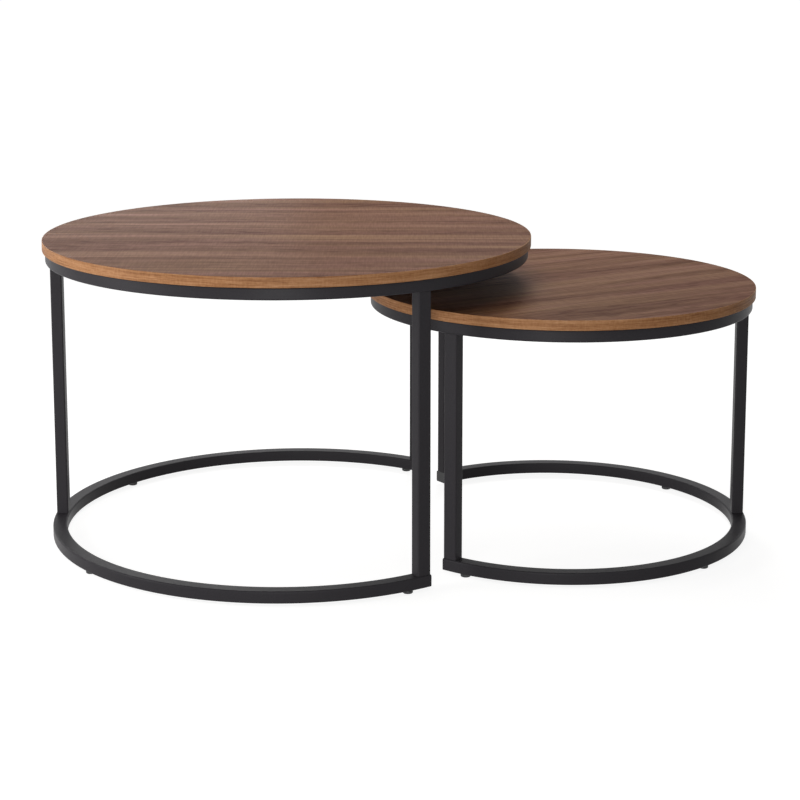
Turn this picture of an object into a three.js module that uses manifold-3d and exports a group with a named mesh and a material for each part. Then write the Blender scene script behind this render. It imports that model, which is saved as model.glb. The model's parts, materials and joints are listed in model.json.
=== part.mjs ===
// Two round nesting tables: walnut-look boards on black frames of rectangular steel tube.
// Millimetres, +Z up. The origin is on the floor, under the middle of the pair as it stands,
// with the large table on the -X side, the small one on the +X side and the front at -Y.
import * as THREE from "three";
import { mergeVertices } from "three/addons/utils/BufferGeometryUtils.js";
import Module from "manifold-3d";

const wasm = await Module();
wasm.setup();

// ---------- Driving dimensions ----------

// Where the pair stands.
const tableSpacing = 422; // from one table's axis to the other's
const floorClearance = 5.5; // underside of both base rings
const nestGap = 42.4; // the small top passes this far under the large table's upper ring

// Board and its edge band.
const boardThickness = 15;
const bandThickness = 1;
const bandEdgeEase = 0.6;
const glueLine = 0.1;

// Steel tube: the wide side lies flat in the rings and faces outwards in the legs.
const tubeWide = 22;
const tubeThin = 18;
const tubeWall = 1.5;
const tubeCorner = 2.5;
const ringInset = 4.5; // from the edge of the board to the outside of the rings
const coatGap = 0.1; // coating between two steel faces that bear on each other

// The two tables. Angles are in degrees about the table's axis. The base ring is open towards
// `facing`, and the end legs stand `endLegAngle` to each side of that direction.
const largeTable = {
  name: "large",
  diameter: 750,
  height: 470,
  facing: 0,
  endLegAngle: 55.6,
  sideGlideAngle: 38.5,
};
const smallTable = {
  name: "small",
  diameter: 598,
  height: largeTable.height - boardThickness - coatGap - tubeThin - nestGap,
  facing: 180,
  endLegAngle: 52.8,
  sideGlideAngle: 45,
};

// Tapped plates welded flush into both ends of the legs.
const legPlateThickness = 4;
const tapClearance = 0.15; // on the radius: threads are drawn plain

// Bolts that hold the legs to the rings.
const boltRadius = 3;
const boltHeadRadius = 5;
const boltHeadHeight = 3.6;
const boltHeadEase = 0.6;
const boltReach = 16;
const boltSocketRadius = 2.3;
const boltSocketDepth = 2;
const boltClearance = 0.4;
const boltAccessRadius = 6.2;

// Wood screws that hold the board to the upper ring.
const screwCount = 6;
const screwFirstAngle = 30;
const screwRadius = 2;
const screwHeadRadius = 4;
const screwHeadHeight = 2.4;
const screwHeadFlatRadius = 2.8; // flat middle of the domed head
const screwHeadRim = 1.1; // height of the head at its rim
const screwReach = 12;
const screwPointLength = 4;
const screwClearance = 0.4;
const pilotClearance = 0.15;
const screwAccessRadius = 5;
const screwRecessLength = 4.4;
const screwRecessWidth = 1;
const screwRecessDepth = 1.3;

// Caps in the open ends of the base rings.
const capPlateThickness = 1.2;
const capPlugDepth = 2.6;
const capPlugClearance = 0.7; // the plug is straight in a tube that curves

// Glides and the rivet nuts that hold them.
const glideFromLeg = 22.5; // along the ring, from an end leg to the nearest glide
const glideRadius = 7.5;
const glideBottomEase = 1.6;
const glideTopEase = 0.6;
const glideStemRadius = 3;
const glideStemReach = 13;
const nutFlangeRadius = 5.6;
const nutFlangeThickness = 0.8;
const nutBodyRadius = 4.4;
const nutBodyHeight = 10;
const nutHoleClearance = 0.2;

// Fineness of the round forms.
const hoopSteps = 60;
const smallSteps = 12;
const cornerSteps = 1;
const past = 1; // how far a cutting tool runs past the face it cuts

// ---------- Materials ----------

function finish(color, roughness, metalness) {
  return new THREE.MeshStandardMaterial({ color, roughness, metalness });
}
const walnutFace = finish(0x7b5f50, 0.5, 0);
const walnutEdge = finish(0x9a6a43, 0.5, 0);
const blackCoat = finish(0x2f2e31, 0.55, 0.2);
const blackPlastic = finish(0x1c1c1d, 0.6, 0);
const zincSteel = finish(0xb9bab8, 0.4, 0.9);

// ---------- Helpers ----------

const radians = THREE.MathUtils.degToRad;

// A closed geometry as a solid that can be joined and cut.
function solid(geometry) {
  const bare = geometry.clone();
  bare.deleteAttribute("normal");
  bare.deleteAttribute("uv");
  const merged = mergeVertices(bare, 1e-4);
  return new wasm.Manifold(
    new wasm.Mesh({
      numProp: 3,
      vertProperties: new Float32Array(merged.attributes.position.array),
      triVerts: new Uint32Array(merged.index.array),
    }),
  );
}

function geometryOf(body) {
  const mesh = body.getMesh();
  const indexed = new THREE.BufferGeometry();
  indexed.setAttribute("position", new THREE.BufferAttribute(mesh.vertProperties, mesh.numProp));
  indexed.setIndex(new THREE.BufferAttribute(mesh.triVerts, 1));
  const flat = indexed.toNonIndexed();
  flat.computeVertexNormals();
  return flat;
}

function part(name, geometry, material) {
  const mesh = new THREE.Mesh(geometry, material);
  mesh.name = name;
  return mesh;
}

// Upright cylinder from z = low to z = high.
function rod(radius, low, high, steps = smallSteps) {
  const geometry = new THREE.CylinderGeometry(radius, radius, high - low, steps);
  geometry.rotateX(Math.PI / 2);
  return geometry.translate(0, 0, (low + high) / 2);
}

// Profile of [radius, height] points, anticlockwise, turned about the Z axis.
function turned(profile, steps = smallSteps) {
  const points = profile.map(([radius, height]) => new THREE.Vector2(radius, height));
  return new THREE.LatheGeometry(points, steps).rotateX(Math.PI / 2);
}

// Rectangle with eased corners, as a closed list of [x, y] points, anticlockwise.
function easedRectangle(x0, y0, x1, y1, radius) {
  const corners = [
    [x1 - radius, y0 + radius, -90],
    [x1 - radius, y1 - radius, 0],
    [x0 + radius, y1 - radius, 90],
    [x0 + radius, y0 + radius, 180],
  ];
  const outline = [];
  for (const [x, y, start] of corners) {
    for (let step = 0; step <= cornerSteps; step += 1) {
      const angle = radians(start + (90 * step) / cornerSteps);
      outline.push([x + radius * Math.cos(angle), y + radius * Math.sin(angle)]);
    }
  }
  outline.push(outline[0]);
  return outline;
}

function rectangle(x0, y0, x1, y1) {
  return [
    [x1, y0],
    [x1, y1],
    [x0, y1],
    [x0, y0],
    [x1, y0],
  ];
}

// Outline in the XY plane, extruded from z = low to z = high.
function extruded(outline, low, high) {
  const shape = new THREE.Shape(outline.map(([x, y]) => new THREE.Vector2(x, y)));
  const geometry = new THREE.ExtrudeGeometry(shape, { depth: high - low, bevelEnabled: false });
  return geometry.translate(0, 0, low);
}

// Point on a circle about a table's axis.
function onCircle(radius, degrees) {
  return [radius * Math.cos(radians(degrees)), radius * Math.sin(radians(degrees))];
}

function sideName(degrees) {
  return Math.sin(radians(degrees)) < 0 ? "front" : "rear";
}

// ---------- Levels and radii of one table ----------

function layout(table) {
  const edge = table.diameter / 2;
  const ringOuter = edge - ringInset;
  const legLine = ringOuter - tubeWide / 2;
  const boardLow = table.height - boardThickness;
  const upperHigh = boardLow - coatGap;
  const upperLow = upperHigh - tubeThin;
  const baseLow = floorClearance;
  const baseHigh = baseLow + tubeThin;
  const glideTurn = THREE.MathUtils.radToDeg(glideFromLeg / legLine);
  const endLegs = [table.facing - table.endLegAngle, table.facing + table.endLegAngle];
  const sideLeg = table.facing + 180;
  return {
    edge,
    ringOuter,
    legLine,
    boardLow,
    boardHigh: table.height,
    upperLow,
    upperHigh,
    baseLow,
    baseHigh,
    legLow: baseHigh + coatGap,
    legHigh: upperLow - coatGap,
    endLegs,
    legs: { side: sideLeg, [sideName(endLegs[0])]: endLegs[0], [sideName(endLegs[1])]: endLegs[1] },
    glides: {
      [`end_${sideName(endLegs[0])}`]: endLegs[0] - glideTurn,
      [`end_${sideName(endLegs[1])}`]: endLegs[1] + glideTurn,
      [`side_${sideName(sideLeg + table.sideGlideAngle)}`]: sideLeg + table.sideGlideAngle,
      [`side_${sideName(sideLeg - table.sideGlideAngle)}`]: sideLeg - table.sideGlideAngle,
    },
    screws: Array.from({ length: screwCount }, (_, i) => screwFirstAngle + (360 * i) / screwCount),
  };
}

// ---------- Boards ----------

function topBoard(at) {
  const radius = at.edge - bandThickness - glueLine;
  let board = solid(rod(radius, at.boardLow, at.boardHigh, hoopSteps));
  const pilotTop = at.upperHigh - tubeWall - coatGap + screwReach + pilotClearance;
  for (const angle of at.screws) {
    const [x, y] = onCircle(at.legLine, angle);
    const pilot = rod(screwRadius + pilotClearance, at.boardLow - past, pilotTop).translate(x, y, 0);
    board = board.subtract(solid(pilot));
  }
  return geometryOf(board);
}

function edgeBand(at) {
  const inner = at.edge - bandThickness;
  const profile = [
    [inner, at.boardLow],
    [at.edge - bandEdgeEase, at.boardLow],
    [at.edge, at.boardLow + bandEdgeEase],
    [at.edge, at.boardHigh - bandEdgeEase],
    [at.edge - bandEdgeEase, at.boardHigh],
    [inner, at.boardHigh],
    [inner, at.boardLow],
  ];
  return turned(profile, hoopSteps);
}

// ---------- Rings ----------

// Closed hoop of tube, hollow inside, from z = low to z = high.
function hoop(at, low, high) {
  const inner = at.ringOuter - tubeWide;
  const outline = easedRectangle(inner, low, at.ringOuter, high, tubeCorner);
  const hollow = rectangle(
    inner + tubeWall,
    low + tubeWall,
    at.ringOuter - tubeWall,
    high - tubeWall,
  );
  return solid(turned(outline, hoopSteps)).subtract(solid(turned(hollow, hoopSteps)));
}

// Upright hole on the ring's centre line, from z = low to z = high.
function drilled(ring, at, angle, radius, low, high) {
  const [x, y] = onCircle(at.legLine, angle);
  return ring.subtract(solid(rod(radius, low, high).translate(x, y, 0)));
}

function upperRing(at) {
  const middle = (at.upperLow + at.upperHigh) / 2;
  let ring = hoop(at, at.upperLow, at.upperHigh);
  for (const angle of Object.values(at.legs)) {
    ring = drilled(ring, at, angle, boltRadius + boltClearance, at.upperLow - past, middle);
    ring = drilled(ring, at, angle, boltAccessRadius, middle, at.upperHigh + past);
  }
  for (const angle of at.screws) {
    ring = drilled(ring, at, angle, screwAccessRadius, at.upperLow - past, middle);
    ring = drilled(ring, at, angle, screwRadius + screwClearance, middle, at.upperHigh + past);
  }
  return geometryOf(ring);
}

// The part of the plane that the base ring leaves open: between the caps, which end flush
// with the sides of the end legs.
function openSide(table, at) {
  const half = radians(table.endLegAngle);
  const setBack = tubeWide / 2 - capPlateThickness - coatGap;
  const reach = 2 * at.edge;
  const tip = setBack / Math.sin(half);
  const along = [reach * Math.cos(half), reach * Math.sin(half)];
  const outline = [
    [tip, 0],
    [tip + along[0], -along[1]],
    [tip + along[0] + reach, 0],
    [tip + along[0], along[1]],
    [tip, 0],
  ];
  const wedge = extruded(outline, at.baseLow - past, at.baseHigh + past);
  return wedge.rotateZ(radians(table.facing));
}

function baseRing(table, at) {
  const middle = (at.baseLow + at.baseHigh) / 2;
  let ring = hoop(at, at.baseLow, at.baseHigh).subtract(solid(openSide(table, at)));
  for (const angle of Object.values(at.legs)) {
    ring = drilled(ring, at, angle, boltAccessRadius, at.baseLow - past, middle);
    ring = drilled(ring, at, angle, boltRadius + boltClearance, middle, at.baseHigh + past);
  }
  for (const angle of Object.values(at.glides)) {
    ring = drilled(ring, at, angle, nutBodyRadius + nutHoleClearance, at.baseLow - past, middle);
  }
  return geometryOf(ring);
}

// ---------- Legs ----------

// Drawn with its axis on Z and its outward side at +X.
function leg(at) {
  const x = tubeThin / 2;
  const y = tubeWide / 2;
  const inX = x - tubeWall;
  const inY = y - tubeWall;
  const outside = extruded(easedRectangle(-x, -y, x, y, tubeCorner), at.legLow, at.legHigh);
  const hollow = extruded(
    rectangle(-inX, -inY, inX, inY),
    at.legLow + legPlateThickness,
    at.legHigh - legPlateThickness,
  );
  const taps = solid(rod(boltRadius + tapClearance, at.legLow - past, at.legHigh + past));
  return geometryOf(solid(outside).subtract(solid(hollow)).subtract(taps));
}

// ---------- Bolts and screws ----------

// Socket-head bolt, seated at z = 0, with its shank along +Z.
function legBolt() {
  const profile = [
    [0, -boltHeadHeight],
    [boltHeadRadius - boltHeadEase, -boltHeadHeight],
    [boltHeadRadius, -boltHeadHeight + boltHeadEase],
    [boltHeadRadius, 0],
    [boltRadius, 0],
    [boltRadius, boltReach],
    [0, boltReach],
  ];
  const socket = rod(boltSocketRadius, -boltHeadHeight - past, boltSocketDepth - boltHeadHeight, 6);
  return solid(turned(profile, smallSteps)).subtract(solid(socket));
}

// Pan-head wood screw, seated at z = 0, with its shank along +Z.
function woodScrew() {
  const profile = [
    [0, -screwHeadHeight],
    [screwHeadFlatRadius, -screwHeadHeight],
    [screwHeadRadius, -screwHeadRim],
    [screwHeadRadius, 0],
    [screwRadius, 0],
    [screwRadius, screwReach - screwPointLength],
    [0, screwReach],
  ];
  const deep = screwRecessDepth - screwHeadHeight;
  const long = screwRecessLength / 2;
  const thin = screwRecessWidth / 2;
  const slotX = extruded(rectangle(-long, -thin, long, thin), -screwHeadHeight - past, deep);
  const slotY = extruded(rectangle(-thin, -long, thin, long), -screwHeadHeight - past, deep);
  return solid(turned(profile, smallSteps)).subtract(solid(slotX).add(solid(slotY)));
}

// ---------- Caps, glides and nuts ----------

// Cap for one open end of the base ring, drawn with the leg's axis on Z and the ring's
// outward side at +X. `hand` is the side of the leg, +1 or -1, on which the ring ends.
function ringCap(at, hand) {
  const outer = tubeWide / 2;
  const end = tubeWide / 2;
  const plate = easedRectangle(-outer, at.baseLow, outer, at.baseHigh, tubeCorner);
  const inside = outer - tubeWall - capPlugClearance;
  const plug = rectangle(
    -inside,
    at.baseLow + tubeWall + capPlugClearance,
    inside,
    at.baseHigh - tubeWall - capPlugClearance,
  );
  const back = end - capPlateThickness;
  const body = solid(extruded(plate, back, end)).add(
    solid(extruded(plug, back - capPlugDepth, back)),
  );
  const geometry = geometryOf(body);
  geometry.rotateX(Math.PI / 2); // the extrusion now runs towards -Y
  return hand < 0 ? geometry : geometry.rotateZ(Math.PI);
}

function glide(at) {
  const padHigh = at.baseLow - nutFlangeThickness - 2 * coatGap;
  const profile = [
    [0, 0],
    [glideRadius - glideBottomEase, 0],
    [glideRadius, glideBottomEase],
    [glideRadius, padHigh - glideTopEase],
    [glideRadius - glideTopEase, padHigh],
    [glideStemRadius, padHigh],
    [glideStemRadius, padHigh + glideStemReach],
    [0, padHigh + glideStemReach],
  ];
  return turned(profile, smallSteps);
}

function glideNut(at) {
  const seat = at.baseLow - coatGap;
  const bore = glideStemRadius + nutHoleClearance;
  const profile = [
    [bore, seat - nutFlangeThickness],
    [nutFlangeRadius, seat - nutFlangeThickness],
    [nutFlangeRadius, seat],
    [nutBodyRadius, seat],
    [nutBodyRadius, seat + nutBodyHeight],
    [bore, seat + nutBodyHeight],
    [bore, seat - nutFlangeThickness],
  ];
  return turned(profile, smallSteps);
}

// ---------- One table ----------

function place(mesh, at, angle, height = 0) {
  const [x, y] = onCircle(at.legLine, angle);
  mesh.position.set(x, y, height);
  mesh.rotation.z = radians(angle);
  return mesh;
}

function makeTable(table) {
  const at = layout(table);
  const group = new THREE.Group();
  const label = (piece) => `${table.name}_${piece}`;

  group.add(part(label("top_board"), topBoard(at), walnutFace));
  group.add(part(label("edge_band"), edgeBand(at), walnutEdge));
  group.add(part(label("upper_ring"), upperRing(at), blackCoat));
  group.add(part(label("base_ring"), baseRing(table, at), blackCoat));

  const boltShape = geometryOf(legBolt());
  const upperSeat = at.upperLow + tubeWall + coatGap;
  const lowerSeat = at.baseHigh - tubeWall - coatGap;
  for (const [side, angle] of Object.entries(at.legs)) {
    group.add(place(part(label(`leg_${side}`), leg(at), blackCoat), at, angle));
    const upper = place(part(label(`upper_bolt_${side}`), boltShape, zincSteel), at, angle, upperSeat);
    upper.rotation.set(Math.PI, 0, radians(angle));
    group.add(upper);
    group.add(place(part(label(`lower_bolt_${side}`), boltShape, zincSteel), at, angle, lowerSeat));
  }

  for (const [index, angle] of at.endLegs.entries()) {
    const cap = part(label(`ring_cap_${sideName(angle)}`), ringCap(at, 1 - 2 * index), blackPlastic);
    cap.position.set(...onCircle(at.legLine, angle), 0);
    cap.rotation.z = radians(angle);
    group.add(cap);
  }

  for (const [where, angle] of Object.entries(at.glides)) {
    group.add(place(part(label(`glide_${where}`), glide(at), blackPlastic), at, angle));
    group.add(place(part(label(`glide_nut_${where}`), glideNut(at), zincSteel), at, angle));
  }

  const screwShape = geometryOf(woodScrew());
  const screwSeat = at.upperHigh - tubeWall - coatGap;
  for (const [index, angle] of at.screws.entries()) {
    const screw = part(label(`top_screw_${index + 1}`), screwShape, zincSteel);
    group.add(place(screw, at, angle, screwSeat));
  }
  return group;
}

// ---------- The pair ----------

const overallLength = largeTable.diameter / 2 + tableSpacing + smallTable.diameter / 2;
const large = makeTable(largeTable);
large.position.x = largeTable.diameter / 2 - overallLength / 2;
const small = makeTable(smallTable);
small.position.x = overallLength / 2 - smallTable.diameter / 2;

const pair = new THREE.Group();
pair.add(large, small);

export default pair;
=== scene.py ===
"""Two round nesting tables with walnut-look tops on black frames of rectangular steel tube.

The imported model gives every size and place. This file finishes each piece around it: foil and edge
band on the boards, powder coat on the tube, moulded caps and glides, plated screws and bolts. It is
laid out as an add-on: property groups hold what a user would change, one operator makes each group
of like pieces, and one panel lists them.
"""

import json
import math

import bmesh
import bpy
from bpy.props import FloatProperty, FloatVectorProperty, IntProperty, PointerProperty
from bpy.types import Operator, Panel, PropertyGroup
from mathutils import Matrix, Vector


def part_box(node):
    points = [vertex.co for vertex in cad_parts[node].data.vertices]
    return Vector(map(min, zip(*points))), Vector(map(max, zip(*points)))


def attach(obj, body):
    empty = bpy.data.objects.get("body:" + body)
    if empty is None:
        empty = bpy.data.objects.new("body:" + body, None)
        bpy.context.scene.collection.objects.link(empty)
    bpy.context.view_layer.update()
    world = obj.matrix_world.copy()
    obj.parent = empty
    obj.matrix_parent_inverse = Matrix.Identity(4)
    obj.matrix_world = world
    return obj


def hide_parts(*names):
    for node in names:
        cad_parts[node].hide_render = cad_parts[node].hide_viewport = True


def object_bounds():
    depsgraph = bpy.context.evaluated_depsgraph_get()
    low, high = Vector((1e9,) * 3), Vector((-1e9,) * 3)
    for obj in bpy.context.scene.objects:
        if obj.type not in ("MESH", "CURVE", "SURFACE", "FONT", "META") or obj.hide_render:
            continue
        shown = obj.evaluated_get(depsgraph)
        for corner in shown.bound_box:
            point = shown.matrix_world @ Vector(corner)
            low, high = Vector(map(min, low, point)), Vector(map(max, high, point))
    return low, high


bl_info = {
    "name": "Nesting Tables",
    "version": (1, 0, 0),
    "blender": (4, 5, 0),
    "location": "View3D > Sidebar > Nesting Tables",
    "description": "Finishes a pair of round nesting tables around their packed model",
    "category": "Add Mesh",
}

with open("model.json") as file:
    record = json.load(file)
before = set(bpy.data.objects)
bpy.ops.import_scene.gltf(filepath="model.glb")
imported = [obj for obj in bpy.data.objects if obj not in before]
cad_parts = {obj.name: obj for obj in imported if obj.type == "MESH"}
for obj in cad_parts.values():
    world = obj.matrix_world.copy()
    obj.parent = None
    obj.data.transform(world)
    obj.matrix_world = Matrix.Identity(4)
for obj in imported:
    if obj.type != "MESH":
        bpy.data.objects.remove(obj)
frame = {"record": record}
cad_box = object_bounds()

MM = 0.001
TABLES = ("large", "small")
LEG_SIDES = ("side", "front", "rear")
END_SIDES = ("front", "rear")
GLIDE_PLACES = ("end_front", "end_rear", "side_front", "side_rear")
SCREW_NUMBERS = range(1, 7)
FULL_TURN = 2 * math.pi
QUARTER_TURN = math.pi / 2
UP = Vector((0, 0, 1))

BODY_OF = {
    node: body
    for body, nodes in frame["record"]["behaviour"]["bodies"].items()
    for node in nodes
}


def linear(code):
    """An sRGB hex colour as linear red, green and blue."""
    values = [int(code[i : i + 2], 16) / 255 for i in (1, 3, 5)]
    return tuple(v / 12.92 if v <= 0.04045 else ((v + 0.055) / 1.055) ** 2.4 for v in values)


def colour_property(name, code, description):
    return FloatVectorProperty(
        name=name, description=description, default=linear(code), subtype="COLOR", min=0, max=1
    )


def size_property(name, millimetres, description):
    return FloatProperty(
        name=name,
        description=description,
        default=millimetres * MM,
        min=0,
        unit="LENGTH",
        precision=5,
    )


def level_property(name, level, description):
    return FloatProperty(name=name, description=description, default=level, min=0)


# ---------- Settings ----------


class WalnutSettings(PropertyGroup):
    """Foil on the boards and the band round their edges."""

    face_dark: colour_property("Face Dark", "#522b18", "Dark streaks of the foil on the faces")
    face_mid: colour_property("Face Middle", "#744a37", "Main tone of the foil on the faces")
    face_light: colour_property("Face Light", "#966b52", "Light streaks of the foil on the faces")
    face_tint: colour_property("Face Tint", "#f7ffdc", "Olive cast of parts of the foil")
    edge_dark: colour_property("Edge Dark", "#7c5233", "Dark lines in the edge band")
    edge_mid: colour_property("Edge Middle", "#a67650", "Main tone of the edge band")
    edge_light: colour_property("Edge Light", "#bf9068", "Light lines in the edge band")
    backing: colour_property("Backing", "#5b4636", "Plain foil on the underside of the boards")
    figure_width: size_property("Figure Width", 56, "Across one broad band of the figure")
    figure_length: size_property("Figure Length", 1300, "Along one broad band of the figure")
    streak_width: size_property("Streak Width", 15, "Across one streak")
    streak_length: size_property("Streak Length", 420, "Along one streak")
    cast_width: size_property("Cast Width", 45, "Across one patch of olive cast")
    cast_length: size_property("Cast Length", 350, "Along one patch of olive cast")
    fleck_width: size_property("Fleck Width", 7, "Across one dark fleck")
    fleck_length: size_property("Fleck Length", 45, "Along one dark fleck")
    fibre_width: size_property("Fibre Width", 2.6, "Across one bundle of fibres")
    fibre_length: size_property("Fibre Length", 90, "Along one bundle of fibres")
    # Real pores are about 0.3 mm by 4 mm, and real saw marks about 1 mm apart. Both are too fine to
    # show from where the pair is looked at, so they are drawn two to three times as coarse.
    pore_width: size_property("Pore Width", 0.9, "Across one pore")
    pore_length: size_property("Pore Length", 9, "Along one pore")
    saw_mark_spacing: size_property("Saw Mark Spacing", 2.6, "From one printed saw mark to the next")
    saw_mark_length: size_property("Saw Mark Length", 40, "Across the grain, along one saw mark")
    wander: size_property("Wander", 30, "How far the grain wanders from side to side")
    wander_width: size_property("Wander Width", 160, "Across the grain, over one turn of its wander")
    wander_length: size_property("Wander Length", 500, "Along the grain, over one turn of its wander")
    small_cut: FloatProperty(
        name="Small Cut",
        description="Where on the print the small board is cut, along from the large one",
        default=2.0,
        unit="LENGTH",
    )
    small_turn: FloatProperty(
        name="Small Grain Turn",
        description="Direction of the small table's grain, from the direction of the large one's",
        default=math.radians(30),
        unit="ROTATION",
    )
    edge_streak_width: size_property("Edge Streak Width", 7, "Across one streak of the edge band")
    edge_streak_length: size_property("Edge Streak Length", 260, "Along one streak of the edge band")
    edge_line_width: size_property("Edge Line Width", 2, "Across one line of the edge band")
    edge_line_length: size_property("Edge Line Length", 60, "Along one line of the edge band")
    edge_dash_width: size_property("Edge Dash Width", 1.2, "Across one dash of the edge band")
    edge_dash_length: size_property("Edge Dash Length", 12, "Along one dash of the edge band")
    edge_mark_spacing: size_property("Edge Mark Spacing", 3, "From one upright mark to the next")
    edge_mark_length: size_property("Edge Mark Length", 9, "Up one mark across the edge band")
    backing_mottle: size_property("Backing Mottle", 2.5, "Across one spot of the backing's mottle")
    edge_ease: size_property("Edge Ease", 0.8, "Rounding of the band's two long edges")
    face_ease: size_property("Face Ease", 0.2, "Rounding of the board where it meets the band")
    glue_line: size_property("Glue Line", 0.1, "Between the board and the band")


class SteelSettings(PropertyGroup):
    """Coated tube, moulded plastic and plated fasteners."""

    coat: colour_property("Powder Coat", "#373538", "Black powder coat")
    plastic: colour_property("Plastic", "#1d1d1e", "Moulded caps and glides")
    zinc: colour_property("Zinc", "#c6c8c9", "Bright plated steel")
    tube_corner: size_property("Tube Corner", 2.5, "Rounding of the tube's corners")
    tube_wall: size_property("Tube Wall", 1.5, "Thickness of the tube's wall")
    tube_end_ease: size_property("Tube End Ease", 0.35, "Rounding of the cut ends of the legs")
    peel_size: size_property("Orange Peel", 1.6, "From one ripple of the powder coat to the next")
    sheen_cloud: size_property("Sheen Cloud", 83, "Across one patch of duller or brighter coat")
    # The real grain of the plastic, about 0.2 mm, is too fine to show and is drawn coarser.
    plastic_grain: size_property("Plastic Grain", 0.67, "From one dimple of the plastic to the next")
    zinc_spangle: size_property("Zinc Spangle", 1.7, "Across one cloudy spot of the plate")
    around: IntProperty(
        name="Steps Around", description="Steps round a whole ring", default=288, min=24
    )


class FittingSettings(PropertyGroup):
    """Bolts, screws, caps, glides and their nuts."""

    bolt_radius: size_property("Bolt Radius", 3, "Shank of a bolt")
    bolt_head_radius: size_property("Bolt Head Radius", 5, "Head of a bolt")
    bolt_head_height: size_property("Bolt Head Height", 3.6, "Head of a bolt")
    socket_radius: size_property("Socket Radius", 2.3, "Across the corners of the hexagon socket")
    socket_depth: size_property("Socket Depth", 2, "Depth of the hexagon socket")
    bolt_access: size_property("Bolt Access", 6.2, "Radius of the hole that a bolt goes in by")
    bolt_head_ease: size_property("Bolt Head Ease", 0.6, "Rounding of a bolt's head")
    bolt_end_ease: size_property("Bolt End Ease", 0.8, "Rounding of a bolt's far end")
    screw_radius: size_property("Screw Radius", 2, "Shank of a wood screw")
    screw_head_radius: size_property("Screw Head Radius", 4, "Domed head of a wood screw")
    screw_head_height: size_property("Screw Head Height", 2.4, "Domed head of a wood screw")
    screw_head_ease: size_property("Screw Head Ease", 1.2, "Rounding of a wood screw's dome")
    screw_point: size_property("Screw Point", 4, "Tapered end of a wood screw")
    recess_length: size_property("Recess Length", 4.4, "One arm of the cross recess, end to end")
    recess_width: size_property("Recess Width", 1, "One arm of the cross recess")
    recess_depth: size_property("Recess Depth", 1.3, "Depth of the cross recess")
    screw_access: size_property("Screw Access", 5, "Radius of the hole that a screw goes in by")
    hole_clearance: size_property("Hole Clearance", 0.4, "Round a bolt or screw in a plain hole")
    tap_clearance: size_property("Tap Clearance", 0.15, "Round a bolt or screw in a tapped hole")
    leg_plate: size_property("Leg Plate", 4, "Thickness of the tapped plate in a leg's end")
    cap_plate: size_property("Cap Plate", 1.2, "Thickness of a cap's outer plate")
    cap_plug: size_property("Cap Plug", 2.6, "Depth of a cap's plug")
    cap_clearance: size_property("Cap Clearance", 0.7, "Between a cap's plug and the tube")
    cap_ease: size_property("Cap Ease", 0.5, "Rounding of a cap's outer face")
    glide_radius: size_property("Glide Radius", 7.5, "Pad of a glide")
    glide_stem: size_property("Glide Stem", 3, "Radius of a glide's stem")
    glide_foot_ease: size_property("Glide Foot Ease", 1.6, "Rounding of the pad on the floor")
    glide_top_ease: size_property("Glide Top Ease", 0.6, "Rounding of the top of the pad")
    nut_flange_radius: size_property("Nut Flange Radius", 5.6, "Flange of a rivet nut")
    nut_flange: size_property("Nut Flange", 0.8, "Thickness of a rivet nut's flange")
    nut_radius: size_property("Nut Radius", 4.4, "Body of a rivet nut")
    nut_clearance: size_property("Nut Clearance", 0.2, "Round a rivet nut, and round the stem in it")
    coat_gap: size_property("Coat Gap", 0.1, "Coating between two faces that bear on each other")
    around: IntProperty(name="Steps Around", description="Steps round a fitting", default=48, min=12)


class StageSettings(PropertyGroup):
    """Floor, lights and camera."""

    floor: colour_property("Floor", "#a3a2a0", "Pale floor")
    camera_back: FloatProperty(
        name="Camera Distance", description="In front of the pair", default=2.9295, unit="LENGTH"
    )
    camera_up: FloatProperty(
        name="Camera Height", description="Above the floor", default=0.9471, unit="LENGTH"
    )
    camera_tilt: FloatProperty(
        name="Camera Tilt",
        description="Downwards from level",
        default=math.radians(9.46),
        unit="ROTATION",
    )
    camera_lens: FloatProperty(
        name="Lens", description="Focal length on a 36 mm sensor", default=86.4, unit="CAMERA"
    )
    camera_shift: FloatProperty(
        name="Shift", description="Vertical shift of the picture", default=-0.2
    )
    ambient: level_property("Ambient", 0.05, "Even light from all round")
    top: level_property("Top", 0.22, "Level of the light overhead")
    side: level_property("Side", 0.44, "Level of the soft light on the left")
    front: level_property("Front", 0.13, "Level of the high light in front")
    low: level_property("Low", 0.36, "Level of the low light in front")
    rear: level_property("Rear", 0.32, "Level of the high light behind")
    back: level_property("Back", 0.26, "Level of the low light behind")


# ---------- Meshes ----------

TUBE_CORNER_STEPS = 5
EASE_STEPS = 3
EDGE_LIMIT = math.radians(40)  # a sharper edge than this is shaded as an edge
CUT_PAST = 1 * MM  # how far a cutting shape runs past what it cuts
WELD = 1e-6  # nearer than this counts as the same place
FACES_DOWN = -0.5  # a face whose normal has a lower Z than this is underneath
HEXAGON = 6  # sides of a bolt's socket


def box_of(node):
    """Lowest corner, highest corner and middle of a CAD node."""
    low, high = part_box(node)
    return low, high, (low + high) / 2


def radius_of(node):
    """Outer radius of a round CAD node."""
    low, high, _ = box_of(node)
    return (high.x - low.x) / 2


def tube_width(table):
    """Wider side of the tube, which lies along Y in the side leg."""
    low, high, _ = box_of(table + "_leg_side")
    return high.y - low.y


def bearing(node, table):
    """Angle of a CAD node about its table's axis, from +X."""
    _, _, centre = box_of(table + "_top_board")
    _, _, middle = box_of(node)
    return math.atan2(middle.y - centre.y, middle.x - centre.x)


def placed(name, data):
    """A new object in the scene."""
    made = bpy.data.objects.new(name, data)
    bpy.context.scene.collection.objects.link(made)
    return made


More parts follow.
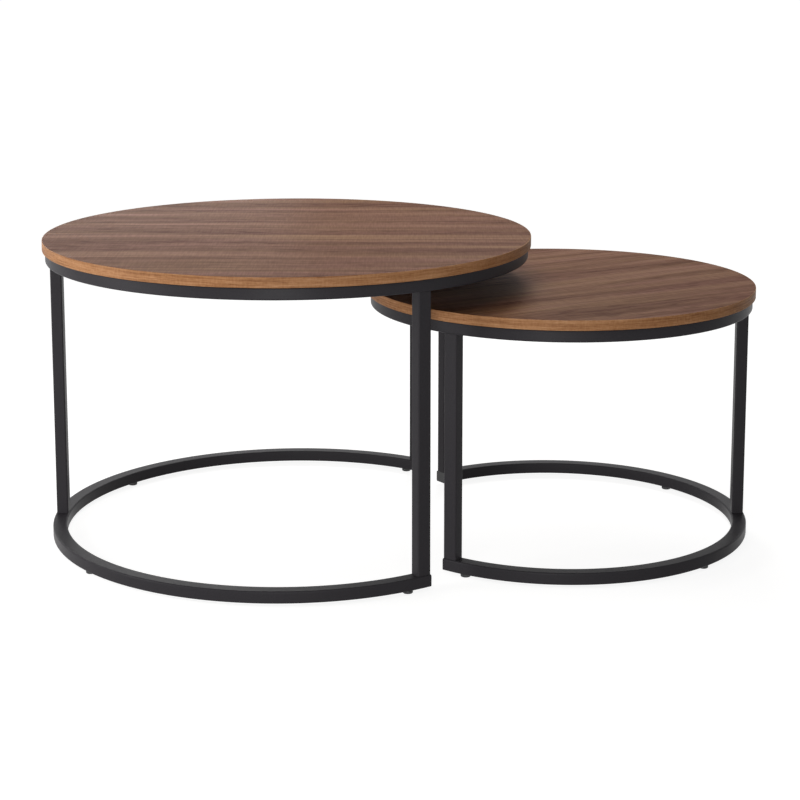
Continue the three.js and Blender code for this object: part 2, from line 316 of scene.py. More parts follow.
def outline(corners, ease, steps, eased=None):
    """The border of a face in X and Z through the corners, with those in `eased` rounded."""
    bm = bmesh.new()
    verts = [bm.verts.new((x, 0, z)) for x, z in corners]
    bm.faces.new(verts)
    bmesh.ops.bevel(
        bm,
        geom=verts if eased is None else [verts[i] for i in eased],
        affect="VERTICES",
        offset=ease,
        segments=steps,
        profile=0.5,
        material=-1,
    )
    bmesh.ops.delete(bm, geom=bm.faces[:], context="FACES_ONLY")
    return bm


def spun(bm, steps):
    """Turns what is in the mesh once round the Z axis."""
    bmesh.ops.spin(
        bm,
        geom=bm.verts[:] + bm.edges[:],
        cent=(0, 0, 0),
        axis=UP,
        angle=FULL_TURN,
        steps=steps,
        use_merge=True,
    )
    bmesh.ops.remove_doubles(bm, verts=bm.verts, dist=WELD)
    bmesh.ops.recalc_face_normals(bm, faces=bm.faces)
    return bm


def turned(profile, steps):
    """A shape turned about the Z axis from a line of (radius, height) points."""
    bm = bmesh.new()
    verts = [bm.verts.new((radius, 0, height)) for radius, height in profile]
    for pair in zip(verts, verts[1:]):
        bm.edges.new(pair)
    return spun(bm, steps)


def headed(head, shank, bottom, seat, top, steps, point=0.0):
    """A turned head from one height to its seat, with a shank of its own radius above, which may
    taper to a point."""
    below = [(0, bottom), (head, bottom), (head, seat)]
    return turned([*below, (shank, seat), (shank, top - point), (0, top)], steps)


def ease_edges(bm, edges, ease, steps=EASE_STEPS):
    """Rounds the edges given."""
    bmesh.ops.bevel(
        bm, geom=edges, affect="EDGES", offset=ease, segments=steps, profile=0.5, material=-1
    )


def ease_rim(bm, radius, height, ease):
    """Rounds a turned shape's edge at a radius and height."""

    def on_rim(at):
        return abs(at.z - height) < WELD and abs(at.xy.length - radius) < WELD

    ease_edges(bm, [e for e in bm.edges if all(on_rim(v.co) for v in e.verts)], ease)


def add_rod(bm, place, radius, low, high, steps):
    """Adds an upright rod, or a prism, from one height to another."""
    bmesh.ops.create_cone(
        bm,
        cap_ends=True,
        segments=steps,
        radius1=radius,
        radius2=radius,
        depth=high - low,
        matrix=Matrix.Translation((place.x, place.y, (low + high) / 2)),
    )


def add_block(bm, sizes, centre=(0, 0, 0)):
    """Adds a plain block."""
    bmesh.ops.create_cube(
        bm, size=1, matrix=Matrix.LocRotScale(Vector(centre), None, Vector(sizes))
    )


def put(bm, place, angle=0.0):
    """Turns a shape about the Z axis and then moves it to its place."""
    bmesh.ops.transform(
        bm,
        verts=bm.verts,
        matrix=Matrix.Translation(place) @ Matrix.Rotation(angle, 4, "Z"),
    )
    return bm


def carved(bm, cutter):
    """The first shape with the second cut away."""
    objects = []
    for shape in (bm, cutter):
        mesh = bpy.data.meshes.new("carving")
        shape.to_mesh(mesh)
        shape.free()
        objects.append(placed("carving", mesh))
    body, tool = objects
    cut = body.modifiers.new("cut", "BOOLEAN")
    cut.operation = "DIFFERENCE"
    cut.solver = "MANIFOLD"
    cut.object = tool
    result = bmesh.new()
    result.from_object(body, bpy.context.evaluated_depsgraph_get())
    for made in objects:
        mesh = made.data
        bpy.data.objects.remove(made)
        bpy.data.meshes.remove(mesh)
    bmesh.ops.dissolve_degenerate(result, edges=result.edges, dist=WELD)
    return result


def piece(node, bm, *materials):
    """The finished piece that stands for a CAD node and rides with its body."""
    mesh = bpy.data.meshes.new(node + "_finished")
    bm.to_mesh(mesh)
    bm.free()
    for material in materials:
        mesh.materials.append(material)
    mesh.shade_smooth()
    mesh.set_sharp_from_angle(angle=EDGE_LIMIT)
    made = placed(mesh.name, mesh)
    flat = made.modifiers.new("flat faces", "WEIGHTED_NORMAL")
    flat.keep_sharp = True
    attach(made, BODY_OF[node])
    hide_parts(node)


# ---------- Materials ----------

MIX_FACTOR, MIX_A, MIX_B, MIX_RESULT = 0, 6, 7, 2  # sockets of a Mix node set to colour
NOISE_LOW, NOISE_HIGH = 0.3, 0.7  # nearly all of a noise pattern lies between these


def add(tree, kind, inputs=None, stops=None, **settings):
    """Adds a node with its settings and ramp stops. Each input gets a value, a socket, or a node,
    which stands for its first output."""
    made = tree.nodes.new(kind)
    for name, value in settings.items():
        setattr(made, name, value)
    for name, value in (inputs or {}).items():
        if isinstance(value, bpy.types.Node):
            value = value.outputs[0]
        if isinstance(value, bpy.types.NodeSocket):
            tree.links.new(value, made.inputs[name])
        else:
            made.inputs[name].default_value = value
    if stops:
        points = made.color_ramp.elements
        while len(points) < len(stops):
            points.new(1)
        for point, (position, colour) in zip(points, stops):
            point.position = position
            point.color = opaque(colour)
    return made


def opaque(colour):
    return (*colour, 1.0)


def new_material(name):
    """An empty material with its shader, which goes to the output."""
    material = bpy.data.materials.new(name)
    material.use_nodes = True
    tree = material.node_tree
    tree.nodes.clear()
    shader = add(tree, "ShaderNodeBsdfPrincipled")
    add(tree, "ShaderNodeOutputMaterial", {"Surface": shader})
    return material, tree, shader


def grain_layer(tree, place, along, across, detail, share, low=NOISE_LOW, high=NOISE_HIGH):
    """One layer of wood grain whose marks are `along` by `across` metres on a face that lies in X
    and Y with the grain on X. The noise between `low` and `high` is spread from 0 to `share`."""
    sized = {"Vector": place, "Scale": (along, across, along)}
    local = add(tree, "ShaderNodeMapping", sized, vector_type="TEXTURE")
    marks = {"Vector": local, "Scale": 1.0, "Detail": detail, "Roughness": 0.55}
    noise = add(tree, "ShaderNodeTexNoise", marks)
    spread = {"Value": noise, "From Min": low, "From Max": high, "To Min": 0.0, "To Max": share}
    return add(tree, "ShaderNodeMapRange", spread)


def mottle(tree, shader, spacing, colour, dark, detail=2.0, roughness=0.5):
    """Colours a surface with soft spots `spacing` metres apart, from a `dark` share of the colour to
    the whole of it, and gives the noise that they follow."""
    place = add(tree, "ShaderNodeTexCoord").outputs["Object"]
    spots = {"Vector": place, "Scale": 1 / spacing, "Detail": detail, "Roughness": roughness}
    noise = add(tree, "ShaderNodeTexNoise", spots)
    stops = [(NOISE_LOW, [dark * value for value in colour]), (NOISE_HIGH, colour)]
    tone = add(tree, "ShaderNodeValToRGB", {"Fac": noise}, stops)
    tree.links.new(tone.outputs[0], shader.inputs["Base Color"])
    return noise


def walnut_foil(name, centre, turn, cut, walnut):
    """Printed walnut paper foil on the faces, with a matt seal.

    It gives the eye broad soft bands, reddish-brown heart streaks, an olive cast here and there,
    fine fibres, short dark flecks and pores along the grain, faint saw marks across it, and a
    greyish veil in grazing light.
    """
    material, tree, shader = new_material(name)
    place = add(tree, "ShaderNodeTexCoord").outputs["Object"]
    laid = {"Vector": place, "Location": centre, "Rotation": (0, 0, turn)}
    straight = add(tree, "ShaderNodeMapping", laid, vector_type="TEXTURE")

    # The grain wanders a little from side to side.
    wander = grain_layer(
        tree, straight, walnut.wander_length, walnut.wander_width, 1.0, walnut.wander, 0.0, 1.0
    )
    shift = add(tree, "ShaderNodeCombineXYZ", {"X": cut, "Y": wander})
    grain = add(tree, "ShaderNodeVectorMath", {0: straight, 1: shift}, operation="ADD")

    figure = grain_layer(
        tree, grain, walnut.figure_length, walnut.figure_width, 2.0, 0.4, 0.34, 0.66
    )
    streak = grain_layer(tree, grain, walnut.streak_length, walnut.streak_width, 3.0, 0.3)
    fibre = grain_layer(tree, grain, walnut.fibre_length, walnut.fibre_width, 3.0, 0.2)
    saw = grain_layer(
        tree, straight, walnut.saw_mark_spacing, walnut.saw_mark_length, 2.0, 0.14, 0.35, 0.65
    )
    broad = add(tree, "ShaderNodeMath", {0: figure, 1: streak}, operation="ADD")
    fine = add(tree, "ShaderNodeMath", {0: fibre, 1: saw}, operation="ADD")
    even = add(tree, "ShaderNodeMath", {0: broad, 1: fine}, operation="ADD")
    # Dark flecks gather in the dark bands of the figure.
    fleck = grain_layer(tree, grain, walnut.fleck_length, walnut.fleck_width, 2.0, 0.5, 0.5, 0.66)
    inside = {"Value": figure, "From Min": 0.0, "From Max": 0.3, "To Min": 1.0, "To Max": 0.0}
    gathered = {0: fleck, 1: add(tree, "ShaderNodeMapRange", inside)}
    dark = add(tree, "ShaderNodeMath", gathered, operation="MULTIPLY")
    tone = add(tree, "ShaderNodeMath", {0: even, 1: dark}, operation="SUBTRACT")
    darkest, lightest = 0.14, 0.88  # tones past which the print gets no darker and no lighter
    stops = [(darkest, walnut.face_dark), (0.5, walnut.face_mid), (lightest, walnut.face_light)]
    wood = add(tree, "ShaderNodeValToRGB", {"Fac": tone}, stops)
    # Here and there the brown turns from reddish to olive, whatever its tone.
    cast = grain_layer(tree, grain, walnut.cast_length, walnut.cast_width, 2.0, 1.0, 0.35, 0.65)
    tinted = {MIX_FACTOR: cast, MIX_A: wood, MIX_B: opaque(walnut.face_tint)}
    wood = add(tree, "ShaderNodeMix", tinted, data_type="RGBA", blend_type="MULTIPLY")
    pores = grain_layer(tree, grain, walnut.pore_length, walnut.pore_width, 1.0, 0.55, 0.62, 0.72)
    bare = wood.outputs[MIX_RESULT]
    pored = {MIX_FACTOR: pores, MIX_A: bare, MIX_B: opaque(walnut.face_dark)}
    colour = add(tree, "ShaderNodeMix", pored, data_type="RGBA")
    tree.links.new(colour.outputs[MIX_RESULT], shader.inputs["Base Color"])
    # Dark grain is printed more matt than light grain.
    printed = {"Value": tone, "From Min": darkest, "From Max": lightest}
    seal = add(tree, "ShaderNodeMapRange", {**printed, "To Min": 0.58, "To Max": 0.48})
    tree.links.new(seal.outputs[0], shader.inputs["Roughness"])
    raised = {"Height": fibre, "Strength": 0.5, "Distance": 0.2 * MM}
    tree.links.new(add(tree, "ShaderNodeBump", raised).outputs[0], shader.inputs["Normal"])
    # The matt seal scatters most of what a smooth one would mirror, so its gloss is weak.
    shader.inputs["Specular IOR Level"].default_value = 0.028
    return material


def walnut_band(walnut):
    """Printed walnut edge band.

    It gives the eye a lighter, more orange brown than the faces, with fine dashes along the edge.
    """
    material, tree, shader = new_material("walnut edge band")
    grain = add(tree, "ShaderNodeUVMap", uv_map="along_edge")
    layers = [
        grain_layer(tree, grain, along, across, 2.0, *spread)
        for along, across, *spread in (
            (walnut.edge_streak_length, walnut.edge_streak_width, 0.4),
            (walnut.edge_line_length, walnut.edge_line_width, 0.36),
            (walnut.edge_dash_length, walnut.edge_dash_width, 0.3),
            (walnut.edge_mark_spacing, walnut.edge_mark_length, 0.14, 0.35, 0.65),
        )
    ]
    along = add(tree, "ShaderNodeMath", {0: layers[0], 1: layers[1]}, operation="ADD")
    fine = add(tree, "ShaderNodeMath", {0: layers[2], 1: layers[3]}, operation="ADD")
    tone = add(tree, "ShaderNodeMath", {0: along, 1: fine}, operation="ADD")
    stops = [(0.2, walnut.edge_dark), (0.6, walnut.edge_mid), (1.0, walnut.edge_light)]
    wood = add(tree, "ShaderNodeValToRGB", {"Fac": tone}, stops)
    tree.links.new(wood.outputs[0], shader.inputs["Base Color"])
    shader.inputs["Roughness"].default_value = 0.5
    shader.inputs["Specular IOR Level"].default_value = 0.06
    return material


def backing_foil(walnut):
    """Plain balancing foil under the boards, which gives the eye a flat dull brown."""
    material, tree, shader = new_material("brown backing foil")
    mottle(tree, shader, walnut.backing_mottle, walnut.backing, 0.85)
    shader.inputs["Roughness"].default_value = 0.7
    return material


def powder_coat(steel):
    """Baked black powder coat on steel tube.

    It gives the eye a soft charcoal sheen, with the fine ripple that such a coat dries to.
    """
    material, tree, shader = new_material("black powder coat")
    peel = mottle(tree, shader, steel.peel_size, steel.coat, 0.85, roughness=0.4)
    place = add(tree, "ShaderNodeTexCoord").outputs["Object"]
    patches = {"Vector": place, "Scale": 1 / steel.sheen_cloud, "Detail": 2.0}
    cloud = add(tree, "ShaderNodeTexNoise", patches)
    patchy = {"Value": cloud, "From Min": NOISE_LOW, "From Max": NOISE_HIGH}
    sheen = add(tree, "ShaderNodeMapRange", {**patchy, "To Min": 0.37, "To Max": 0.43})
    tree.links.new(sheen.outputs[0], shader.inputs["Roughness"])
    raised = {"Height": peel, "Strength": 0.3, "Distance": 0.2 * MM}
    tree.links.new(add(tree, "ShaderNodeBump", raised).outputs[0], shader.inputs["Normal"])
    shader.inputs["Specular IOR Level"].default_value = 0.06
    return material


def moulded_plastic(steel):
    """Black moulded polyethylene, which gives the eye a dull, slightly waxy grain."""
    material, tree, shader = new_material("black moulded plastic")
    grain = mottle(tree, shader, steel.plastic_grain, steel.plastic, 0.8)
    shader.inputs["Roughness"].default_value = 0.5
    raised = {"Height": grain, "Strength": 0.3, "Distance": 0.1 * MM}
    tree.links.new(add(tree, "ShaderNodeBump", raised).outputs[0], shader.inputs["Normal"])
    return material


def zinc_plate(steel):
    """Bright zinc plate on steel, which gives the eye a pale metal with faint cloudy spangle."""
    material, tree, shader = new_material("bright zinc plate")
    cloud = mottle(tree, shader, steel.zinc_spangle, steel.zinc, 0.8, detail=3.0)
    cloudy = {"Value": cloud, "From Min": NOISE_LOW, "From Max": NOISE_HIGH}
    shine = add(tree, "ShaderNodeMapRange", {**cloudy, "To Min": 0.28, "To Max": 0.4})
    tree.links.new(shine.outputs[0], shader.inputs["Roughness"])
    shader.inputs["Metallic"].default_value = 1.0
    return material


# ---------- Pieces ----------


class NESTING_OT_boards(Operator):
    """Make the two round boards, faced with walnut foil"""

    bl_idname = "nesting.boards"
    bl_label = "Boards"

    def execute(self, context):
        walnut = context.scene.nesting_walnut
        fittings = context.scene.nesting_fittings
        steps = context.scene.nesting_steel.around
        backing = backing_foil(walnut)
        for table, turn, cut in zip(TABLES, (0, walnut.small_turn), (0, walnut.small_cut)):
            node = table + "_top_board"
            low, high, centre = box_of(node)
            bm = bmesh.new()
            add_rod(bm, centre, radius_of(node), low.z, high.z, steps)
            rim = [e for e in bm.edges if all(v.co.z > centre.z for v in e.verts)]
            ease_edges(bm, rim, walnut.face_ease)
            pilots = bmesh.new()
            for number in SCREW_NUMBERS:
                _, tip, place = box_of(f"{table}_top_screw_{number}")
                radius = fittings.screw_radius + fittings.tap_clearance
                deep = tip.z + fittings.tap_clearance
                add_rod(pilots, place, radius, low.z - CUT_PAST, deep, fittings.around)
            bm = carved(bm, pilots)
            for face in bm.faces:
                if face.normal.z < FACES_DOWN:
                    face.material_index = 1  # the backing
            foil = walnut_foil(f"walnut foil {table}", centre, turn, cut, walnut)
            piece(node, bm, foil, backing)
        return {"FINISHED"}


class NESTING_OT_edge_bands(Operator):
    """Make the walnut bands round the boards, with their long edges eased"""

    bl_idname = "nesting.edge_bands"
    bl_label = "Edge Bands"

    def execute(self, context):
        walnut = context.scene.nesting_walnut
        steps = context.scene.nesting_steel.around
        material = walnut_band(walnut)
        for table in TABLES:
            node = table + "_edge_band"
            low, high, centre = box_of(node)
            outer = radius_of(node)
            inner = radius_of(table + "_top_board") + walnut.glue_line
            corners = [(inner, low.z), (outer, low.z), (outer, high.z), (inner, high.z)]
            bm = spun(outline(corners, walnut.edge_ease, EASE_STEPS, eased=(1, 2)), steps)
            self.wrap(bm, outer)
            piece(node, put(bm, (centre.x, centre.y, 0)), material)
        return {"FINISHED"}

    def wrap(self, bm, radius):
        """Adds a UV map in metres, which runs round the edge from a joint at the back, and up."""
        layer = bm.loops.layers.uv.new("along_edge")
        joint = QUARTER_TURN
        for face in bm.faces:
            middle = face.calc_center_median()
            turn = (math.atan2(middle.y, middle.x) - joint) % FULL_TURN
            for loop in face.loops:
                at = loop.vert.co
                past = (math.atan2(at.y, at.x) - joint - turn + math.pi) % FULL_TURN - math.pi
                loop[layer].uv = (radius * (turn + past), at.z + at.xy.length - radius)


class NESTING_OT_rings(Operator):
    """Make the coated rings of tube, drilled for their bolts, screws and glides"""

    bl_idname = "nesting.rings"
    bl_label = "Rings"

    def execute(self, context):
        steel = context.scene.nesting_steel
        fittings = context.scene.nesting_fittings
        coat = powder_coat(steel)
        for table in TABLES:
            for ring, cuts in (("upper_ring", self.upper_holes), ("base_ring", self.base_cuts)):
                node = f"{table}_{ring}"
                hoop = self.hoop(table, node, steel)
                piece(node, carved(hoop, cuts(table, fittings)), coat)
        return {"FINISHED"}

    def hoop(self, table, node, steel):
        """A closed hoop of hollow tube."""
        low, high, _ = box_of(node)
        _, _, centre = box_of(table + "_upper_ring")
        outer = radius_of(table + "_upper_ring")
        inner = outer - tube_width(table)
        corners = [(inner, low.z), (outer, low.z), (outer, high.z), (inner, high.z)]
        bm = spun(outline(corners, steel.tube_corner, TUBE_CORNER_STEPS), steel.around)
        bmesh.ops.solidify(bm, geom=bm.faces[:], thickness=steel.tube_wall)
        return put(bm, (centre.x, centre.y, 0))

    def upper_holes(self, table, fittings):
        """Bolt holes below with access from above, and screw holes above with access from below."""
        low, high, centre = box_of(table + "_upper_ring")
        bottom, middle, top = low.z - CUT_PAST, centre.z, high.z + CUT_PAST
        cutter = bmesh.new()
        for side in LEG_SIDES:
            _, _, place = box_of(f"{table}_upper_bolt_{side}")
            plain = fittings.bolt_radius + fittings.hole_clearance
            add_rod(cutter, place, plain, bottom, middle, fittings.around)
            add_rod(cutter, place, fittings.bolt_access, middle, top, fittings.around)
        for number in SCREW_NUMBERS:
            _, _, place = box_of(f"{table}_top_screw_{number}")
            plain = fittings.screw_radius + fittings.hole_clearance
            add_rod(cutter, place, fittings.screw_access, bottom, middle, fittings.around)
            add_rod(cutter, place, plain, middle, top, fittings.around)
        return cutter

    def base_cuts(self, table, fittings):
        """The open side, bolt holes above with access from below, and holes for the nuts."""
        low, high, centre = box_of(table + "_base_ring")
        bottom, middle, top = low.z - CUT_PAST, centre.z, high.z + CUT_PAST
        cutter = self.open_side(table, bottom, top, fittings)
        for side in LEG_SIDES:
            _, _, place = box_of(f"{table}_lower_bolt_{side}")
            plain = fittings.bolt_radius + fittings.hole_clearance
            add_rod(cutter, place, fittings.bolt_access, bottom, middle, fittings.around)
            add_rod(cutter, place, plain, middle, top, fittings.around)
        for where in GLIDE_PLACES:
            _, _, place = box_of(f"{table}_glide_{where}")
            radius = fittings.nut_radius + fittings.nut_clearance
            add_rod(cutter, place, radius, bottom, middle, fittings.around)
        return cutter

    def open_side(self, table, bottom, top, fittings):
        """A wedge that ends the ring just inside the caps, which are flush with the end legs."""
        _, _, centre = box_of(table + "_top_board")
        set_back = tube_width(table) / 2 - fittings.cap_plate - fittings.coat_gap
        facing = self.facing(table)
        half = abs(math.remainder(bearing(table + "_leg_front", table) - facing, FULL_TURN))
        wedge = bmesh.new()
        reach = 1.0  # well past the ring
        arms = [
            Matrix.Rotation(hand * half, 3, "Z") @ Vector((reach, -hand * set_back, bottom))
            for hand in (-1, 1)
        ]
        tip = Vector((set_back / math.sin(half), 0, bottom))
        far = Vector((2 * reach, 0, bottom))
        wedge.faces.new([wedge.verts.new(corner) for corner in (tip, arms[0], far, arms[1])])
        raised = bmesh.ops.extrude_face_region(wedge, geom=wedge.faces[:], use_keep_orig=True)
        verts = [v for v in raised["geom"] if isinstance(v, bmesh.types.BMVert)]
        bmesh.ops.translate(wedge, verts=verts, vec=UP * (top - bottom))
        bmesh.ops.recalc_face_normals(wedge, faces=wedge.faces)
        return put(wedge, (centre.x, centre.y, 0), facing)

    def facing(self, table):
        """Direction in which the base ring is open, opposite the side leg."""
        return bearing(table + "_leg_side", table) + math.pi


class NESTING_OT_legs(Operator):
    """Make the coated legs of tube, with a tapped plate in each end"""

    bl_idname = "nesting.legs"
    bl_label = "Legs"

    def execute(self, context):
        steel = context.scene.nesting_steel
        fittings = context.scene.nesting_fittings
        coat = powder_coat(steel)
        for table in TABLES:
            low, high, _ = box_of(table + "_leg_side")
            thin, wide, tall = high - low
            for side in LEG_SIDES:
                node = f"{table}_leg_{side}"
                _, _, place = box_of(node)
                bm = bmesh.new()
                add_block(bm, (thin, wide, tall))
                upright = [e for e in bm.edges if abs(e.verts[0].co.z - e.verts[1].co.z) > WELD]
                ease_edges(bm, upright, steel.tube_corner, TUBE_CORNER_STEPS)
                rims = [e for e in bm.edges if abs(e.verts[0].co.z - e.verts[1].co.z) < WELD]
                ease_edges(bm, rims, steel.tube_end_ease)
                inside = bmesh.new()
                walls = 2 * steel.tube_wall
                add_block(inside, (thin - walls, wide - walls, tall - 2 * fittings.leg_plate))
                tap = fittings.bolt_radius + fittings.tap_clearance
                reach = tall / 2 + CUT_PAST
                add_rod(inside, Vector(), tap, -reach, reach, fittings.around)
                piece(node, put(carved(bm, inside), place, bearing(node, table)), coat)
        return {"FINISHED"}


class NESTING_OT_ring_caps(Operator):
    """Make the plastic caps in the open ends of the base rings"""

    bl_idname = "nesting.ring_caps"
    bl_label = "Ring Caps"

    def execute(self, context):
        steel = context.scene.nesting_steel
        fittings = context.scene.nesting_fittings
        plastic = moulded_plastic(steel)
        for table in TABLES:
            ring_low, ring_high, ring = box_of(table + "_base_ring")
            wide, tall = tube_width(table), ring_high.z - ring_low.z
            for end in END_SIDES:
                node = f"{table}_ring_cap_{end}"
                leg = f"{table}_leg_{end}"
                _, _, place = box_of(leg)
                _, _, cap = box_of(node)
                angle = bearing(leg, table)
                outward = Matrix.Rotation(-angle, 3, "Z") @ (cap - place)
                turn = 0 if outward.y > 0 else math.pi
                bm = put(self.cap(wide, tall, steel, fittings), (0, 0, 0), turn)
                piece(node, put(bm, (place.x, place.y, ring.z), angle), plastic)
        return {"FINISHED"}

    def cap(self, wide, tall, steel, fittings):
        """Drawn round the leg's axis, with its outer face towards +Y."""
        bm = bmesh.new()
        face_at = wide / 2
        plate_at = face_at - fittings.cap_plate / 2
        add_block(bm, (wide, fittings.cap_plate, tall), (0, plate_at, 0))
        corners = [e for e in bm.edges if abs(e.verts[0].co.y - e.verts[1].co.y) > WELD]
        ease_edges(bm, corners, steel.tube_corner, TUBE_CORNER_STEPS)
        rim = [e for e in bm.edges if all(v.co.y > face_at - WELD for v in e.verts)]
        ease_edges(bm, rim, fittings.cap_ease)
        back = min(bm.faces, key=lambda f: f.calc_center_median().y)
        inset = steel.tube_wall + fittings.cap_clearance
        bmesh.ops.inset_region(bm, faces=[back], thickness=inset, use_even_offset=True)
        grown = bmesh.ops.extrude_face_region(bm, geom=[back])
        plug = [v for v in grown["geom"] if isinstance(v, bmesh.types.BMVert)]
        bmesh.ops.translate(bm, verts=plug, vec=(0, -fittings.cap_plug, 0))
        bmesh.ops.delete(bm, geom=[back], context="FACES_ONLY")
        bmesh.ops.recalc_face_normals(bm, faces=bm.faces)
        return bm


class NESTING_OT_glides(Operator):
    """Make the levelling glides and the plated nuts that hold them"""

    bl_idname = "nesting.glides"
    bl_label = "Glides"

    def execute(self, context):
        steel = context.scene.nesting_steel
        fittings = context.scene.nesting_fittings
        plastic = moulded_plastic(steel)
        zinc = zinc_plate(steel)
        for table in TABLES:
            for where in GLIDE_PLACES:
                node = f"{table}_glide_{where}"
                nut = f"{table}_glide_nut_{where}"
                _, _, place = box_of(node)
                centre = (place.x, place.y, 0)
                piece(node, put(self.glide(node, nut, fittings), centre), plastic)
                piece(nut, put(self.nut(nut, fittings), centre), zinc)
        return {"FINISHED"}

    def glide(self, node, nut, fittings):
        low, high, _ = box_of(node)
        nut_low, _, _ = box_of(nut)
        pad_top = nut_low.z - fittings.coat_gap
        pad, stem = fittings.glide_radius, fittings.glide_stem
        bm = headed(pad, stem, low.z, pad_top, high.z, fittings.around)
        ease_rim(bm, pad, low.z, fittings.glide_foot_ease)
        ease_rim(bm, pad, pad_top, fittings.glide_top_ease)
        ease_rim(bm, stem, high.z, fittings.glide_top_ease)
        return bm

    def nut(self, nut, fittings):
        low, high, _ = box_of(nut)
        bore = fittings.glide_stem + fittings.nut_clearance
        seat = low.z + fittings.nut_flange
        flange, body = fittings.nut_flange_radius, fittings.nut_radius
        below = [(bore, low.z), (flange, low.z), (flange, seat), (body, seat)]
        return turned([*below, (body, high.z), (bore, high.z), (bore, low.z)], fittings.around)


class NESTING_OT_fasteners(Operator):
    """Make the socket-head bolts of the legs and the cross-recess screws of the boards"""

    bl_idname = "nesting.fasteners"
    bl_label = "Fasteners"

    def execute(self, context):
        fittings = context.scene.nesting_fittings
        zinc = zinc_plate(context.scene.nesting_steel)
        for table in TABLES:
            for side in LEG_SIDES:
                for end, turn in (("lower", 0), ("upper", math.pi)):
                    node = f"{table}_{end}_bolt_{side}"
                    low, high, place = box_of(node)
                    reach = high.z - low.z - fittings.bolt_head_height
                    bolt = self.bolt(reach, fittings)
                    over = Matrix.Rotation(turn, 3, "X")
                    bmesh.ops.rotate(bolt, verts=bolt.verts, matrix=over)
                    place.z = low.z + reach if turn else high.z - reach  # where its head bears
                    piece(node, put(bolt, place, bearing(node, table)), zinc)
            for number in SCREW_NUMBERS:
                node = f"{table}_top_screw_{number}"
                low, high, place = box_of(node)
                place.z = low.z + fittings.screw_head_height
                screw = self.screw(high.z - place.z, fittings)
                piece(node, put(screw, place, bearing(node, table)), zinc)
        return {"FINISHED"}

    def bolt(self, reach, fittings):
        """Seated at the origin with its head below."""
        top = -fittings.bolt_head_height
        head, shank = fittings.bolt_head_radius, fittings.bolt_radius
        bm = headed(head, shank, top, 0, reach, fittings.around)
        ease_rim(bm, head, top, fittings.bolt_head_ease)
        ease_rim(bm, shank, reach, fittings.bolt_end_ease)
        socket = bmesh.new()
        floor = top + fittings.socket_depth
        add_rod(socket, Vector(), fittings.socket_radius, top - CUT_PAST, floor, HEXAGON)
        return carved(bm, socket)

    def screw(self, reach, fittings):
        """Seated at the origin with its domed head below."""
        top = -fittings.screw_head_height
        head, shank = fittings.screw_head_radius, fittings.screw_radius
        bm = headed(head, shank, top, 0, reach, fittings.around, fittings.screw_point)
        ease_rim(bm, head, top, fittings.screw_head_ease)
        recess = bmesh.new()
        depth = fittings.recess_depth + CUT_PAST
        middle = (0, 0, top + fittings.recess_depth - depth / 2)
        add_block(recess, (fittings.recess_length, fittings.recess_width, depth), middle)
        add_block(recess, (fittings.recess_width, fittings.recess_length, depth), middle)
        return carved(bm, recess)


# ---------- Stage ----------

FLOOR_REACH = 20.0  # from the middle of the floor to its sides
GLOW_NEAR, GLOW_FAR = 1.0, 4.0  # the floor's glow grows from one distance to the other
NEAR_GLOW, FAR_GLOW = 0.88, 1.0

# Where each light stands: its angle from +X and its angle from level, both in degrees, and its
# distance from the pair. Then its width and height.
LIGHTS = {
    "top": ((184, 82, 1.4), (0.8, 0.8)),
    "side": ((203, 9, 1.8), (0.8, 0.8)),
    "front": ((265, 50, 3.2), (1.6, 1.6)),
    "low": ((266, 0, 2.6), (0.7, 0.4)),
    "rear": ((80, 48, 2.6), (0.8, 0.8)),
    "back": ((138, 20, 1.2), (1.8, 0.2)),
}


def seen(tree):
    """1 where a camera, mirror or glass ray looks, and 0 for light that falls on a surface."""
    path = add(tree, "ShaderNodeLightPath").outputs
    glossy = {0: path["Is Camera Ray"], 1: path["Is Glossy Ray"]}
    either = add(tree, "ShaderNodeMath", glossy, operation="ADD").outputs[0]
    clear = {0: either, 1: path["Is Transmission Ray"]}
    return add(tree, "ShaderNodeMath", clear, operation="ADD", use_clamp=True).outputs[0]


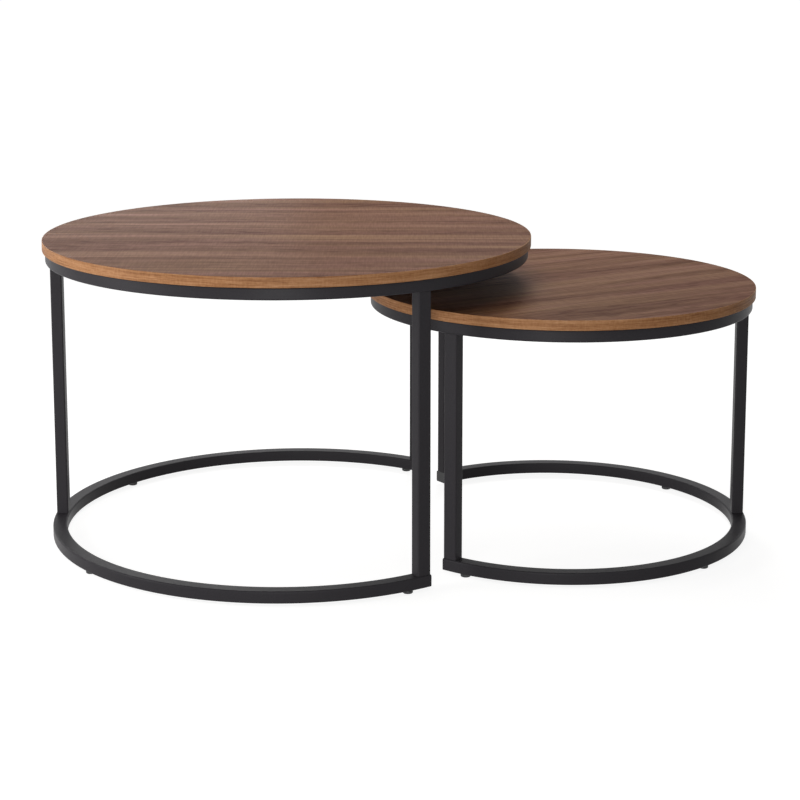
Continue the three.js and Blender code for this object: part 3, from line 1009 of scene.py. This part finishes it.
class NESTING_OT_stage(Operator):
    """Make the pale floor, the soft lights and the camera"""

    bl_idname = "nesting.stage"
    bl_label = "Stage"

    def execute(self, context):
        stage = context.scene.nesting_stage
        self.floor(stage)
        self.world(context, stage)
        for name, (place, sizes) in LIGHTS.items():
            self.softbox(name + " light", place, sizes, getattr(stage, name))
        self.camera(context, stage)
        context.scene.view_settings.view_transform = "Standard"
        return {"FINISHED"}

    def floor(self, stage):
        bm = bmesh.new()
        bmesh.ops.create_grid(bm, x_segments=1, y_segments=1, size=FLOOR_REACH)
        mesh = bpy.data.meshes.new("floor")
        bm.to_mesh(mesh)
        bm.free()
        material = bpy.data.materials.new("pale floor")
        material.use_nodes = True
        material.cycles.emission_sampling = "NONE"
        tree = material.node_tree
        tree.nodes.clear()
        matt = add(tree, "ShaderNodeBsdfDiffuse", {"Color": opaque(stage.floor)})
        # White a long way off, and a little less near the tables, where their shadow shows.
        place = add(tree, "ShaderNodeTexCoord").outputs["Object"]
        away = add(tree, "ShaderNodeVectorMath", {0: place}, operation="LENGTH").outputs["Value"]
        far = {"Value": away, "From Min": GLOW_NEAR, "From Max": GLOW_FAR}
        fade = add(tree, "ShaderNodeMapRange", {**far, "To Min": NEAR_GLOW, "To Max": FAR_GLOW})
        glow = add(tree, "ShaderNodeEmission", {"Strength": fade})
        white = add(tree, "ShaderNodeAddShader", {0: glow, 1: matt})
        both = {"Fac": seen(tree), 1: matt, 2: white}
        mixed = add(tree, "ShaderNodeMixShader", both)
        add(tree, "ShaderNodeOutputMaterial", {"Surface": mixed})
        mesh.materials.append(material)
        made = placed("floor", mesh)

    def world(self, context, stage):
        world = bpy.data.worlds.new("white studio")
        world.use_nodes = True
        world.cycles.sampling_method = "NONE"
        tree = world.node_tree
        tree.nodes.clear()
        even, white = (
            add(tree, "ShaderNodeBackground", {"Color": opaque((1, 1, 1)), "Strength": strength})
            for strength in (stage.ambient, 1.0)
        )
        both = {"Fac": seen(tree), 1: even, 2: white}
        mixed = add(tree, "ShaderNodeMixShader", both)
        add(tree, "ShaderNodeOutputWorld", {"Surface": mixed})
        context.scene.world = world

    def softbox(self, name, place, sizes, level):
        """A flat light aimed at the pair. At level 1 a matt surface that faces it from the middle of
        the pair shows its own colour."""
        aim = (cad_box[0] + cad_box[1]) / 2
        azimuth, elevation, distance = math.radians(place[0]), math.radians(place[1]), place[2]
        flat = math.cos(elevation)
        towards = Vector((flat * math.cos(azimuth), flat * math.sin(azimuth), math.sin(elevation)))
        light = bpy.data.lights.new(name, "AREA")
        light.shape = "RECTANGLE"
        light.size, light.size_y = sizes
        light.energy = level * (math.pi * distance) ** 2
        made = placed(name, light)
        made.location = aim + distance * towards
        made.rotation_euler = towards.to_track_quat("Z", "Y").to_euler()
        made.visible_camera = False

    def camera(self, context, stage):
        data = bpy.data.cameras.new("camera")
        data.lens = stage.camera_lens
        data.shift_y = stage.camera_shift
        made = placed("camera", data)
        made.location = (0, -stage.camera_back, stage.camera_up)
        made.rotation_euler = (QUARTER_TURN - stage.camera_tilt, 0, 0)
        context.scene.camera = made


class NESTING_PT_panel(Panel):
    """Lists what makes the tables"""

    bl_idname = "NESTING_PT_panel"
    bl_label = "Nesting Tables"
    bl_space_type = "VIEW_3D"
    bl_region_type = "UI"
    bl_category = "Nesting Tables"

    def draw(self, context):
        for step in STEPS:
            self.layout.operator(step.bl_idname)
        for group in SETTINGS:
            box = self.layout.box()
            settings = getattr(context.scene, group)
            for name in settings.bl_rna.properties.keys():
                if name not in ("rna_type", "name"):
                    box.prop(settings, name)


SETTINGS = {
    "nesting_walnut": WalnutSettings,
    "nesting_steel": SteelSettings,
    "nesting_fittings": FittingSettings,
    "nesting_stage": StageSettings,
}
STEPS = (
    NESTING_OT_boards,
    NESTING_OT_edge_bands,
    NESTING_OT_rings,
    NESTING_OT_legs,
    NESTING_OT_ring_caps,
    NESTING_OT_glides,
    NESTING_OT_fasteners,
    NESTING_OT_stage,
)


def register():
    for cls in (*SETTINGS.values(), *STEPS, NESTING_PT_panel):
        bpy.utils.register_class(cls)
    for name, group in SETTINGS.items():
        setattr(bpy.types.Scene, name, PointerProperty(type=group))


def unregister():
    for name in SETTINGS:
        delattr(bpy.types.Scene, name)
    for cls in (NESTING_PT_panel, *STEPS, *SETTINGS.values()):
        bpy.utils.unregister_class(cls)


def main():
    register()
    bpy.ops.nesting.boards()
    bpy.ops.nesting.edge_bands()
    bpy.ops.nesting.rings()
    bpy.ops.nesting.legs()
    bpy.ops.nesting.ring_caps()
    bpy.ops.nesting.glides()
    bpy.ops.nesting.fasteners()
    bpy.ops.nesting.stage()


if __name__ == "__main__":
    main()
